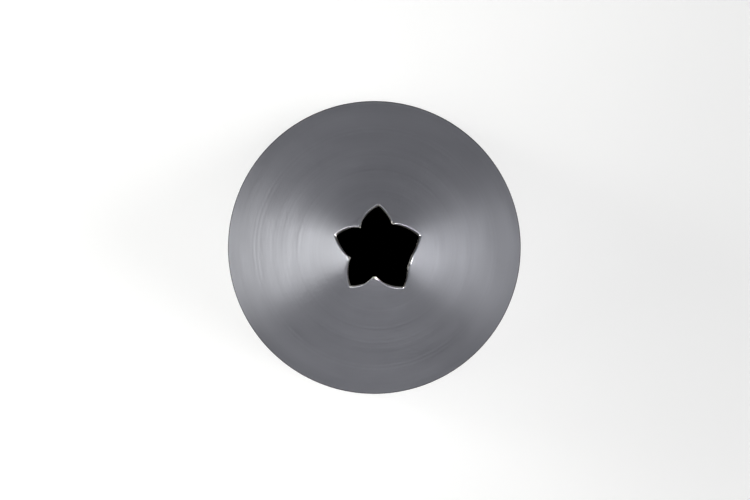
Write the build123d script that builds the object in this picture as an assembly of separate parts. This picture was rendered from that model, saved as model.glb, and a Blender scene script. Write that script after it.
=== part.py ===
from build123d import *
import os
from math import atan, cos

# Open-star piping nozzle: a seamless cone of thin stainless sheet whose narrow
# end is notched into five teeth. It stands on its wide end, and the origin is
# the centre of that end. All sizes are in millimetres.

# Cone, measured on the outside of the sheet
height = 50.0
base_diameter = 35.0
tip_diameter = 6.8
wall = 0.3

# Softened edges of the wide end, where a cut rim is dressed by hand
rim_round = 0.1

# Notches that make the star: depth down the cone, width each side of the root at
# the narrow end, and how far each flank bows out from a straight V
notch_depth = 5.75
notch_half_width = 1.65
flank_bow = 0.28
root_round = 0.08

# The five notches as they were cut, anticlockwise from +X: the direction of each
# root in degrees, and its depth and the widths of its two flanks as shares of
# the nominal sizes. No two are quite alike.
notch_directions = (19.9, 90.9, 159.9, 232.1, 304.1)
notch_depth_shares = (0.90, 1.04, 1.03, 1.02, 0.99)
leading_width_shares = (1.25, 1.12, 1.00, 0.77, 0.81)
trailing_width_shares = (0.90, 0.80, 0.94, 1.12, 1.12)

# How far a cutting tool runs on past the metal
overrun = 2.0

base_radius = base_diameter / 2
tip_radius = tip_diameter / 2

# A wall of even thickness takes more of the radius than its own thickness,
# because the sheet leans
half_angle = atan((base_radius - tip_radius) / height)
wall_across = wall / cos(half_angle)


def cone_shell():
    """The drawn cone before its mouth is notched: open at both ends."""
    section = make_face(
        Plane.XZ
        * Polyline(
            (base_radius, 0),
            (tip_radius, height),
            (tip_radius - wall_across, height),
            (base_radius - wall_across, 0),
            close=True,
        )
    )
    shell = revolve(section, Axis.Z)
    rim = shell.edges().group_by(Axis.Z)[0]
    return fillet(rim, min(rim_round, wall_across / 3))


def notch(direction, depth, leading_width, trailing_width):
    """A tool that cuts one notch through one side of the cone."""
    root = (0, height - depth)
    leading_end = (leading_width, height)
    trailing_end = (-trailing_width, height)
    above = height + overrun
    outline = Curve() + [
        SagittaArc(root, leading_end, -flank_bow),
        Polyline(
            leading_end,
            (leading_width, above),
            (-trailing_width, above),
            trailing_end,
        ),
        SagittaArc(trailing_end, root, -flank_bow),
    ]
    profile = make_face(Plane.YZ * outline)
    root_corner = profile.vertices().sort_by(Axis.Z)[0]
    profile = fillet(root_corner, root_round)
    return Rot(Z=direction) * extrude(profile, base_radius)


def nozzle_shell():
    """The cone with its star-shaped mouth."""
    shell = cone_shell()
    for direction, depth_share, leading_share, trailing_share in zip(
        notch_directions,
        notch_depth_shares,
        leading_width_shares,
        trailing_width_shares,
    ):
        shell -= notch(
            direction,
            notch_depth * depth_share,
            notch_half_width * leading_share,
            notch_half_width * trailing_share,
        )
    return shell


os.makedirs("parts", exist_ok=True)
shell = nozzle_shell()
shell.label = "nozzle_shell"
export_step(shell, "parts/nozzle_shell.step")
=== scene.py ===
import bmesh
import bpy
from math import asin, atan, cos, pi, radians, sin, tan
from mathutils import Matrix, Vector


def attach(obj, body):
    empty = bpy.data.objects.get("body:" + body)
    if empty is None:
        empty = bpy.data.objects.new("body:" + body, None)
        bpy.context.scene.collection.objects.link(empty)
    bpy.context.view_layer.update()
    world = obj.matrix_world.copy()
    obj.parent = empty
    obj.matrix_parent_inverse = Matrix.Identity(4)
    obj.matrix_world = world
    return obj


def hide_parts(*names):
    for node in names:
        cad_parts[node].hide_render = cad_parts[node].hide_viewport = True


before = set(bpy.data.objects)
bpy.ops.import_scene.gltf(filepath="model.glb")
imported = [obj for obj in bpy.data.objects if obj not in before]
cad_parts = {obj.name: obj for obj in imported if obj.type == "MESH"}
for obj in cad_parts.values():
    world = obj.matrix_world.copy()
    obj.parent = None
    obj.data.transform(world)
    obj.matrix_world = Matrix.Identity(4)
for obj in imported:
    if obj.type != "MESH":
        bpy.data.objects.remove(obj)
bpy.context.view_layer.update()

# Nozzle shell
# The whole nozzle is this one piece: thin stainless sheet drawn to a straight cone, turned to a fine satin,
# then punched with five notches at its narrow end, so that five teeth stand round a star-shaped mouth.
mm = 0.001
nozzle_height = 50 * mm
base_radius = 17.49 * mm
tip_radius = 3.4 * mm
sheet = 0.3 * mm
half_angle = atan((base_radius - tip_radius) / nozzle_height)
sheet_across = sheet / cos(half_angle)

# The notches: how deep they are, and half their width between the tips of the teeth
notch_depth = 5.75 * mm
notch_half_width = 1.65 * mm

# As they were punched, anticlockwise from +X: each notch's direction in degrees, its depth and the widths
# of its clockwise and its anticlockwise flank as shares of the sizes above, and how far each flank bows out
# from a straight V
notches = (
    (19.4, 0.898, 0.890, 1.260, 0.05 * mm, 0.11 * mm),
    (89.3, 1.016, 0.799, 1.188, 0.12 * mm, 0.38 * mm),
    (160.6, 1.010, 0.998, 1.003, 0.31 * mm, 0.17 * mm),
    (231.7, 1.005, 1.144, 0.806, 0.19 * mm, 0.27 * mm),
    (305.0, 0.950, 1.137, 0.807, 0.24 * mm, 0.13 * mm),
)

# The tooth after each notch: how far it leans out from the cone, or in where the number is negative, where
# its crest lies between its two flanks, and how far its tip falls off from the crest to the flank before it
# and to the one after it
teeth = (
    (0.10 * mm, 0.23, 0.06 * mm, 0.06 * mm),
    (0.03 * mm, 0.43, 0.05 * mm, 0.04 * mm),
    (-0.03 * mm, 0.64, 0.02 * mm, 0.07 * mm),
    (-0.34 * mm, 0.35, 0.15 * mm, 0.40 * mm),
    (0.29 * mm, 0.43, 0.42 * mm, 0.38 * mm),
)

# The height where the teeth start to lean, and the powers that the lean and the fall from a crest grow by
lean_start = 43.8 * mm
lean_curve = 1.3
crest_curve = 1.8

# Softened edges, outside and inside: the dressed wide rim, and the tumbled edges of the notches
rim_round_outside = 0.13 * mm
rim_round_inside = 0.076 * mm
mouth_round_outside = 0.12 * mm
mouth_round_inside = 0.04 * mm
round_steps = 3

# How much of the mouth's outside rounding each edge has, counted from a notch's root, which is nearly sharp
root_wear = (0.06, 0.5)

# The wall is laid out in columns about this wide, narrower ones at the tips of the teeth, and in rows from
# the rim (0) through the foot of the crown (1) to its notched edge (2)
column_width = radians(2)
tip_column_width = radians(1)
fewest_tip_columns = 4
crown_start = 42.4 * mm
wall_rows = (0, 0.012, 0.2, 0.4, 0.6, 0.8, 1, 1.25, 1.5, 1.65, 1.8, 2)

# Its three finishes, by their numbers on the mesh
satin_finish = 0
cut_finish = 1
drawn_finish = 2


def cone_radius(height, inside):
    """Radius of the cone at a height, on its outer or its inner face."""
    radius = base_radius - (base_radius - tip_radius) * height / nozzle_height
    return radius - sheet_across if inside else radius


def flank_points(depth, width, bow):
    """Points up one bowed flank, from the notch's root: how far sideways and how far up."""
    steps = round(asin(width / tip_radius) / column_width)
    chord = Vector((width, depth))
    along = chord.normalized()
    outward = Vector((along.y, -along.x))
    curve_radius = (chord.length_squared / 4 + bow**2) / (2 * bow)
    centre = chord / 2 - outward * (curve_radius - bow)
    reach = asin(chord.length / 2 / curve_radius)
    turns = [reach * (2 * step / steps - 1) for step in range(steps + 1)]
    return [centre + curve_radius * (cos(turn) * outward + sin(turn) * along) for turn in turns]


def column(direction, sideways, height, lean):
    """One column of the wall: its direction outside and inside, its edge's height and its tooth's lean."""
    outside = direction + asin(sideways / cone_radius(height, False))
    inside = direction + asin(sideways / cone_radius(height, True))
    return outside, inside, height, lean


def notch_columns(number):
    """The columns across one notch, from the tooth before it to the tooth after it."""
    degrees, depth_share, before_share, after_share, before_bow, after_bow = notches[number]
    direction = radians(degrees)
    depth = notch_depth * depth_share
    root = nozzle_height - depth
    lean_before, _, _, fall_before = teeth[number - 1]
    lean_after, _, fall_after, _ = teeth[number]
    before = flank_points(depth - fall_before, notch_half_width * before_share, before_bow)
    after = flank_points(depth - fall_after, notch_half_width * after_share, after_bow)
    made = [column(direction, -across, root + up, lean_before) for across, up in reversed(before[1:])]
    made.append(column(direction, 0, root, (lean_before + lean_after) / 2))
    made += [column(direction, across, root + up, lean_after) for across, up in after[1:]]
    return made


def tooth_columns(number, start, end):
    """The columns across a tooth's tip, between the last column of a notch and the first of the next."""
    lean, crest, fall_before, fall_after = teeth[number]
    start_outside, start_inside = start[:2]
    end_outside, end_inside = end[:2]
    turn = radians(360) if end_outside < start_outside else 0
    steps = max(fewest_tip_columns, round((end_outside + turn - start_outside) / tip_column_width))
    made = []
    for step in range(1, steps):
        share = step / steps
        outside = start_outside + (end_outside + turn - start_outside) * share
        inside = start_inside + (end_inside + turn - start_inside) * share
        if share < crest:
            fall = fall_before * (1 - share / crest) ** crest_curve
        else:
            fall = fall_after * ((share - crest) / (1 - crest)) ** crest_curve
        made.append((outside, inside, nozzle_height - fall, lean))
    return made


def wall_point(wall_column, row, inside):
    """Where a column crosses a row, on the outer or the inner face of the wall."""
    outside_direction, inside_direction, edge_height, lean = wall_column
    direction = inside_direction if inside else outside_direction
    height = crown_start * min(row, 1) + (edge_height - crown_start) * max(row - 1, 0)
    lean_share = max(height - lean_start, 0) / (nozzle_height - lean_start)
    radius = cone_radius(height, inside) + lean * lean_share**lean_curve
    return radius * cos(direction), radius * sin(direction), height


def new_ring(mesh, edges, row, inside):
    """Draws the wall on by one ring of faces and returns the ring's edges."""
    grown = bmesh.ops.extrude_edge_only(mesh, edges=edges)["geom"]
    verts = {part for part in grown if isinstance(part, bmesh.types.BMVert)}
    for vert in verts:
        vert.co = wall_point(columns[vert[column_number]], row, inside)
    return [part for part in grown if isinstance(part, bmesh.types.BMEdge) and set(part.verts) <= verts]


punched = [notch_columns(number) for number in range(len(notches))]
notch_directions = [radians(notch[0]) for notch in notches]
columns = []
for number, across_notch in enumerate(punched):
    next_notch = punched[(number + 1) % len(punched)]
    columns += across_notch
    columns += tooth_columns(number, across_notch[-1], next_notch[0])

# The wall goes up the outside, over the notched edge and down the inside, and is closed along the rim
shell = bmesh.new()
column_number = shell.verts.layers.int.new("column")
edge_wear = shell.edges.layers.float.new("bevel_weight_edge")
circle = bmesh.ops.create_circle(shell, segments=len(columns), radius=base_radius)["verts"]
for number, vert in enumerate(circle):
    vert[column_number] = number
    vert.co = wall_point(columns[number], wall_rows[0], False)

outer_rings = [list(shell.edges)]
for row in wall_rows[1:]:
    outer_rings.append(new_ring(shell, outer_rings[-1], row, False))
outside_faces = set(shell.faces)
inner_rings = [new_ring(shell, outer_rings[-1], wall_rows[-1], True)]
cut_faces = set(shell.faces) - outside_faces
for row in reversed(wall_rows[:-1]):
    inner_rings.append(new_ring(shell, inner_rings[-1], row, True))
inside_faces = set(shell.faces) - outside_faces - cut_faces
rim_faces = bmesh.ops.bridge_loops(shell, edges=outer_rings[0] + inner_rings[-1])["faces"]

finished_faces = (
    (outside_faces, satin_finish),
    (cut_faces, cut_finish),
    (rim_faces, cut_finish),
    (inside_faces, drawn_finish),
)
for faces, finish in finished_faces:
    for face in faces:
        face.material_index = finish

# The rim's two edges and the mouth's inner edge are rounded here, and the mouth's outer edge last of all
rounded_edges = (
    (outer_rings[0], rim_round_outside),
    (inner_rings[-1], rim_round_inside),
    (inner_rings[0], mouth_round_inside),
)
for edges, round_size in rounded_edges:
    rounded = bmesh.ops.bevel(
        shell,
        geom=edges,
        offset=round_size,
        offset_type="OFFSET",
        affect="EDGES",
        segments=round_steps,
        profile=0.5,
        material=-1,
        loop_slide=True,
        clamp_overlap=False,
    )["faces"]
    for face in rounded:
        face.material_index = cut_finish

root_columns = [number for number, wall_column in enumerate(columns) if wall_column[0] in notch_directions]
for edge in outer_rings[-1]:
    first, second = (vert[column_number] for vert in edge.verts)
    steps = min(min(abs(first - root), abs(second - root)) for root in root_columns)
    edge[edge_wear] = root_wear[steps] if steps < len(root_wear) else 1
bmesh.ops.recalc_face_normals(shell, faces=shell.faces)
for face in shell.faces:
    face.smooth = True

shell_mesh = bpy.data.meshes.new("nozzle")
shell.to_mesh(shell_mesh)
shell.free()
nozzle = bpy.data.objects.new("nozzle", shell_mesh)
bpy.context.scene.collection.objects.link(nozzle)
mouth_round = nozzle.modifiers.new("mouth_round", "BEVEL")
mouth_round.limit_method = "WEIGHT"
mouth_round.offset_type = "OFFSET"
mouth_round.width = mouth_round_outside
mouth_round.segments = round_steps
mouth_round.profile = 0.5
mouth_round.use_clamp_overlap = False
mouth_round.material = satin_finish
even_shading = nozzle.modifiers.new("even_shading", "WEIGHTED_NORMAL")
even_shading.mode = "FACE_AREA"
even_shading.weight = 50
even_shading.keep_sharp = False


def new_material(name):
    """A new node material, with its tree and its shader."""
    material = bpy.data.materials.new(name)
    material.use_nodes = True
    return material, material.node_tree, material.node_tree.nodes["Principled BSDF"]


def add_node(tree, kind, inputs=None, **settings):
    """A node with its settings and input values given, and inputs from other nodes linked."""
    made = tree.nodes.new(kind)
    for name, value in settings.items():
        setattr(made, name, value)
    for name, value in (inputs or {}).items():
        if isinstance(value, bpy.types.NodeSocket):
            tree.links.new(value, made.inputs[name])
        else:
            made.inputs[name].default_value = value
    return made


def combine(tree, operation, first, second):
    """Two values made into one, such as by adding them."""
    return add_node(tree, "ShaderNodeMath", {0: first, 1: second}, operation=operation).outputs[0]


def carry_over(tree, value, given, wanted):
    """A value carried over from a given range to a wanted one, and held within it."""
    ends = {"From Min": given[0], "From Max": given[1], "To Min": wanted[0], "To Max": wanted[1]}
    return add_node(tree, "ShaderNodeMapRange", {"Value": value, **ends}).outputs["Result"]


def shaded(tree, colour, share):
    """A colour made darker or lighter by a share that varies."""
    inputs = {0: colour[:3], "Scale": share}
    return add_node(tree, "ShaderNodeVectorMath", inputs, operation="SCALE").outputs["Vector"]


def raised(tree, marks, strength, depth):
    """The surface's slope, as marks of this depth change it."""
    inputs = {"Height": marks, "Strength": strength, "Distance": depth}
    return add_node(tree, "ShaderNodeBump", inputs).outputs["Normal"]


# Satin outside: turned on a mandrel with fine abrasive, so faint lines run round the cone and light spreads
# along its length. Its tint at a grazing angle isn't black, because black shows thin bright arcs on it.
satin_metal = (0.290, 0.293, 0.320, 1)
satin_grazing_tint = (0.1, 0.1, 0.1, 1)
satin_roughness = 0.363
satin_anisotropy = 0.744
grain_turn = 0.25
cone_axis = (0, 0, 1)

# Its lines and its clouds, as marks to a metre, and what they do to its tone, its roughness and its slope
ring_fineness = 1100
cloud_fineness = 130
mottle_range = (0.6, 1.4)
satin_tone_range = (0.93, 1.07)
satin_roughness_change = 0.02
satin_roughness_range = (satin_roughness - satin_roughness_change, satin_roughness + satin_roughness_change)
ring_strength = 0.1
ring_depth = 0.004 * mm

# Painted shade: a band along the rim is darker in colour, and fades into the rest above it
rim_band = 0.4 * mm
rim_fade = 0.15 * mm
rim_painted_shade_range = (0.5, 1)

satin, tree, shader = new_material("satin_outside")
place = add_node(tree, "ShaderNodeTexCoord").outputs["Object"]
height = add_node(tree, "ShaderNodeSeparateXYZ", {"Vector": place}).outputs["Z"]
ring_inputs = {"W": height, "Scale": ring_fineness, "Detail": 1}
rings = add_node(tree, "ShaderNodeTexNoise", ring_inputs, noise_dimensions="1D").outputs["Fac"]
cloud_inputs = {"Vector": place, "Scale": cloud_fineness, "Detail": 3}
clouds = add_node(tree, "ShaderNodeTexNoise", cloud_inputs).outputs["Fac"]
mottle = combine(tree, "ADD", clouds, rings)
tone_and_painted_shade = carry_over(tree, mottle, mottle_range, satin_tone_range)
rim_painted_shade = carry_over(tree, height, (rim_band, rim_band + rim_fade), rim_painted_shade_range)
# The painted shade along the rim darkens the satin's random tone
tone_and_painted_shade = combine(tree, "MULTIPLY", tone_and_painted_shade, rim_painted_shade)
tree.links.new(shaded(tree, satin_metal, tone_and_painted_shade), shader.inputs["Base Color"])
rough = carry_over(tree, mottle, mottle_range, satin_roughness_range)
tree.links.new(rough, shader.inputs["Roughness"])
tree.links.new(raised(tree, rings, ring_strength, ring_depth), shader.inputs["Normal"])
around_inputs = {0: cone_axis, 1: place}
around = add_node(tree, "ShaderNodeVectorMath", around_inputs, operation="CROSS_PRODUCT").outputs["Vector"]
around = add_node(tree, "ShaderNodeVectorMath", {0: around}, operation="NORMALIZE").outputs["Vector"]
tree.links.new(around, shader.inputs["Tangent"])
shader.inputs["Metallic"].default_value = 1
shader.inputs["Specular Tint"].default_value = satin_grazing_tint
shader.inputs["Anisotropic"].default_value = satin_anisotropy
shader.inputs["Anisotropic Rotation"].default_value = grain_turn

# Cut edges: sheared bare metal, brighter and smoother than the satin
cut_metal = (0.42, 0.41, 0.39, 1)
cut_grazing_tint = (0, 0, 0, 1)
cut_roughness_range = (0.28, 0.36)
shear_fineness = 5000
shear_strength = 0.2
shear_depth = 0.01 * mm
noise_range = (0.3, 0.7)

cut, tree, shader = new_material("cut_edge")
place = add_node(tree, "ShaderNodeTexCoord").outputs["Object"]
shear_inputs = {"Vector": place, "Scale": shear_fineness, "Detail": 2}
shear = add_node(tree, "ShaderNodeTexNoise", shear_inputs).outputs["Fac"]
rough = carry_over(tree, shear, noise_range, cut_roughness_range)
tree.links.new(rough, shader.inputs["Roughness"])
tree.links.new(raised(tree, shear, shear_strength, shear_depth), shader.inputs["Normal"])
shader.inputs["Base Color"].default_value = cut_metal
shader.inputs["Specular Tint"].default_value = cut_grazing_tint
shader.inputs["Metallic"].default_value = 1

# Inside: as drawn, with marks down the cone, many to a metre across it and few along it
drawn_metal = (0.40, 0.40, 0.42, 1)
drawn_roughness_range = (0.32, 0.42)
draw_fineness = (1500, 1500, 40)

inner, tree, shader = new_material("drawn_inside")
place = add_node(tree, "ShaderNodeTexCoord").outputs["Object"]
draw_place = add_node(tree, "ShaderNodeMapping", {"Vector": place, "Scale": draw_fineness}).outputs["Vector"]
draw_inputs = {"Vector": draw_place, "Scale": 1, "Detail": 2}
draw_marks = add_node(tree, "ShaderNodeTexNoise", draw_inputs).outputs["Fac"]
rough = carry_over(tree, draw_marks, noise_range, drawn_roughness_range)
tree.links.new(rough, shader.inputs["Roughness"])
shader.inputs["Base Color"].default_value = drawn_metal
shader.inputs["Metallic"].default_value = 1

# In the order of the finishes' numbers
for material in (satin, cut, inner):
    shell_mesh.materials.append(material)
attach(nozzle, "root")
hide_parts("nozzle_shell")

# Floor
# A plain pale table top that the nozzle stands on, wide end down. It glows for the camera and in reflections,
# so that it shows as a white background. Under the nozzle its colour is black and it has no glow: painted
# shade.
floor_half = 1.6
floor_squares = 8
floor_drop = 0.01 * mm
floor_colour = (0.42, 0.42, 0.42, 1)
floor_glow = 0.62
glow_colour = (1, 1, 1, 1)
# Within this radius the floor is painted black, as painted shade under the nozzle
painted_shade_radius = 16.9 * mm

floor_shape = bmesh.new()
bmesh.ops.create_grid(floor_shape, x_segments=floor_squares, y_segments=floor_squares, size=floor_half)
bmesh.ops.translate(floor_shape, verts=floor_shape.verts, vec=(0, 0, -floor_drop))
floor_mesh = bpy.data.meshes.new("floor")
floor_shape.to_mesh(floor_mesh)
floor_shape.free()
floor = bpy.data.objects.new("floor", floor_mesh)
bpy.context.scene.collection.objects.link(floor)
floor_material, tree, shader = new_material("pale_floor")
place = add_node(tree, "ShaderNodeTexCoord").outputs["Object"]
distance = add_node(tree, "ShaderNodeVectorMath", {0: place}, operation="LENGTH").outputs["Value"]
floor_outside_painted_shade = combine(tree, "GREATER_THAN", distance, painted_shade_radius)
# Painted shade: within that radius the floor's colour is black
tree.links.new(shaded(tree, floor_colour, floor_outside_painted_shade), shader.inputs["Base Color"])
shader.inputs["Roughness"].default_value = 1
shader.inputs["Specular IOR Level"].default_value = 0
rays = add_node(tree, "ShaderNodeLightPath")
seen = combine(tree, "MAXIMUM", rays.outputs["Is Camera Ray"], rays.outputs["Is Glossy Ray"])
seen = combine(tree, "MAXIMUM", seen, rays.outputs["Is Transmission Ray"])
seen = combine(tree, "MULTIPLY", seen, floor_outside_painted_shade)
glow = combine(tree, "MULTIPLY", seen, floor_glow)
shader.inputs["Emission Color"].default_value = glow_colour
tree.links.new(glow, shader.inputs["Emission Strength"])
floor_material.cycles.emission_sampling = "NONE"
floor_mesh.materials.append(floor_material)

# Studio light
# Softboxes round the table: one overhead behind the camera, two close on each side with grids on their
# faces, which keep their light off the table near them, and one in front.

# Each one's place, its width and height, how bright its face is when seen square on, the angle in degrees
# that its light spreads over, and how much of the blue its light has
softboxes = (
    ("overhead_softbox", (0, 0.05, 1), (0.21, 0.21), 7.5, 180, 1),
    ("left_softbox_low", (-0.130, -0.0143, 0.0257), (0.1074, 0.0494), 16.4, 100, 0.955),
    ("left_softbox_high", (-0.130, 0.0460, 0.0773), (0.0397, 0.0693), 20.0, 100, 0.955),
    ("right_softbox_low", (0.130, -0.0168, 0.0166), (0.1485, 0.0311), 8.7, 100, 0.985),
    ("right_softbox_high", (0.130, -0.0079, 0.1288), (0.1519, 0.0751), 51, 100, 0.985),
    ("front_softbox", (0, -0.3, 0.12), (0.4, 0.24), 1.19, 180, 1),
)

for name, location, size, brightness, spread, blue_share in softboxes:
    light = bpy.data.lights.new(name, "AREA")
    light.shape = "RECTANGLE"
    light.size = size[0]
    light.size_y = size[1]
    light.spread = radians(spread)
    light.color = (1, 1, blue_share)
    # A narrow spread makes the face brighter for the same power, so this share of it is enough
    power_share = 1 - radians(spread / 2) / tan(radians(spread / 2))
    light.energy = brightness * pi * size[0] * size[1] * power_share
    # The brightnesses above were chosen with this off
    light.cycles.use_multiple_importance_sampling = False
    lamp = bpy.data.objects.new(name, light)
    lamp.location = location
    overhead = name == "overhead_softbox"
    facing = Vector((0, 0, -1)) if overhead else Vector((-location[0], -location[1], 0))
    lamp.rotation_euler = facing.to_track_quat("-Z", "Y").to_euler()
    lamp.visible_camera = False
    bpy.context.scene.collection.objects.link(lamp)

# The room is dim, and its ceiling darker than its walls. One fades into the other where the line of sight
# rises from the first share of straight up to the second.
wall_level = 0.23
ceiling_level = 0.03
ceiling_rise_shares = (0.5, 0.75)

room = bpy.data.worlds.new("room")
room.use_nodes = True
tree = room.node_tree
sight = add_node(tree, "ShaderNodeTexCoord").outputs["Generated"]
rise = add_node(tree, "ShaderNodeSeparateXYZ", {"Vector": sight}).outputs["Z"]
room_level = carry_over(tree, rise, ceiling_rise_shares, (wall_level, ceiling_level))
tree.links.new(room_level, tree.nodes["Background"].inputs["Color"])
bpy.context.scene.world = room

# Camera
# It looks almost straight down on the mouth of the nozzle, from a little to one side of the axis.
camera_place = Vector((-4.256, 3.417, 450)) * mm
camera_aim = Vector((0.075, -0.300, 0)) * mm
view = bpy.data.cameras.new("camera")
view.sensor_width = 36
view.lens = 181.2
camera = bpy.data.objects.new("camera", view)
ahead = (camera_aim - camera_place).normalized()
right = ahead.cross(Vector((0, 1, 0))).normalized()
up = right.cross(ahead)
camera.matrix_world = Matrix.Translation(camera_place) @ Matrix((right, up, -ahead)).transposed().to_4x4()
bpy.context.scene.collection.objects.link(camera)
bpy.context.scene.camera = camera
bpy.context.scene.view_settings.view_transform = "Standard"
